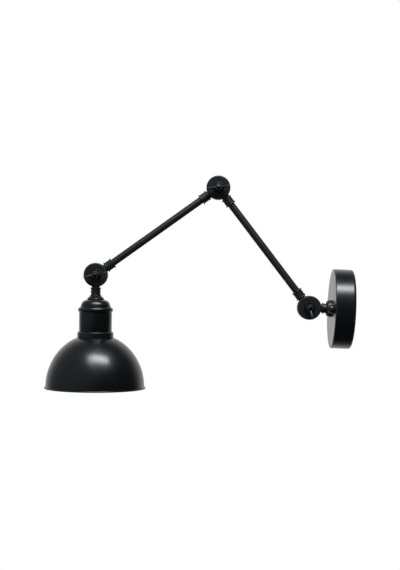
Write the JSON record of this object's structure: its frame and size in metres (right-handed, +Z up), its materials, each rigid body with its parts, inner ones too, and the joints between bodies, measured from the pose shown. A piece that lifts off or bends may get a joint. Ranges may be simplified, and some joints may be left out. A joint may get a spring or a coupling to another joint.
{
  "type": "articulating wall lamp",
  "caption": "Wall lamp with a round plate, two hinged tube arms locked by wing nuts, and a domed metal shade that tilts on its own swivel.",
  "frame": {"origin": "centre of the wall bracket's back face, on the wall plane", "axes": "+X into the wall along the plate's axis, +Z up, +Y along the hinge axes, away from the wing nuts"},
  "size_m": [0.4611, 0.1538, 0.332],
  "materials": {
    "frame_paint": "satin black paint",
    "shade_paint": "satin black paint, white inside",
    "cast_paint": "satin black paint on castings",
    "screw_paint": "blackened steel",
    "plain_steel": "zinc plated",
    "brass": "plain brass",
    "moulding": "moulded, off-white",
    "fibre": "fibre"
  },
  "bodies": {
    "plate": {"canopy": "frame_paint", "wall_bracket": "plain_steel", "fixing_studs": "plain_steel", "stud_lock_nuts": "plain_steel", "dome_nuts": "frame_paint", "hub_rosette": "frame_paint", "canopy_nipple": "plain_steel", "canopy_washer": "plain_steel", "canopy_nut": "plain_steel", "terminal_block": "moulding", "terminal_sleeves": "brass", "terminal_screws": "plain_steel", "block_screw": "plain_steel", "earth_screw": "plain_steel", "wall_knuckle_fixed": "cast_paint", "wall_friction_ring": "fibre"},
    "lower_arm": {"wall_knuckle_arm": "cast_paint", "wall_pivot_screw": "screw_paint", "wall_flat_washer": "screw_paint", "lower_tube": "frame_paint", "elbow_knuckle_lower": "cast_paint", "elbow_pivot_screw": "screw_paint", "elbow_flat_washer": "screw_paint"},
    "upper_arm": {"elbow_knuckle_upper": "cast_paint", "elbow_friction_ring": "fibre", "upper_tube": "frame_paint", "head_knuckle_arm": "cast_paint", "head_friction_ring": "fibre"},
    "head": {"head_knuckle_holder": "cast_paint", "head_pivot_screw": "screw_paint", "head_flat_washer": "screw_paint", "holder_nipple": "plain_steel", "holder_washer": "plain_steel", "holder_nut": "plain_steel", "holder_cap": "frame_paint", "holder_body": "frame_paint", "shade_collar": "frame_paint", "shade": "shade_paint", "shade_ring": "moulding", "socket_cap": "moulding", "socket_body": "moulding", "screw_shell": "brass", "centre_contact": "brass"},
    "wall_nut": {"wall_wing_nut": "screw_paint"},
    "elbow_nut": {"elbow_wing_nut": "screw_paint"},
    "head_nut": {"head_wing_nut": "screw_paint"}
  },
  "joints": [
    {"name": "wall_pivot", "type": "hinge", "parent": "plate", "child": "lower_arm", "pos_m": [-0.0644, 0, 0], "axis": [0, -1, 0], "range_deg": [-49.4, 150.6]},
    {"name": "elbow_pivot", "type": "hinge", "parent": "lower_arm", "child": "upper_arm", "pos_m": [-0.20912, 0, 0.17618], "axis": [0, 1, 0], "range_deg": [-31.7, 208.3]},
    {"name": "head_pivot", "type": "hinge", "parent": "upper_arm", "child": "head", "pos_m": [-0.38952, 0, 0.03676], "axis": [0, -1, 0], "range_deg": [-184.1, 75.9]},
    {"name": "wall_nut_turn", "type": "hinge", "parent": "lower_arm", "child": "wall_nut", "pos_m": [-0.0644, 0, 0], "axis": [0, -1, 0], "range_deg": [0, 360]},
    {"name": "elbow_nut_turn", "type": "hinge", "parent": "lower_arm", "child": "elbow_nut", "pos_m": [-0.20912, 0, 0.17618], "axis": [0, -1, 0], "range_deg": [0, 360]},
    {"name": "head_nut_turn", "type": "hinge", "parent": "head", "child": "head_nut", "pos_m": [-0.38952, 0, 0.03676], "axis": [0, -1, 0], "range_deg": [0, 360]}
  ]
}
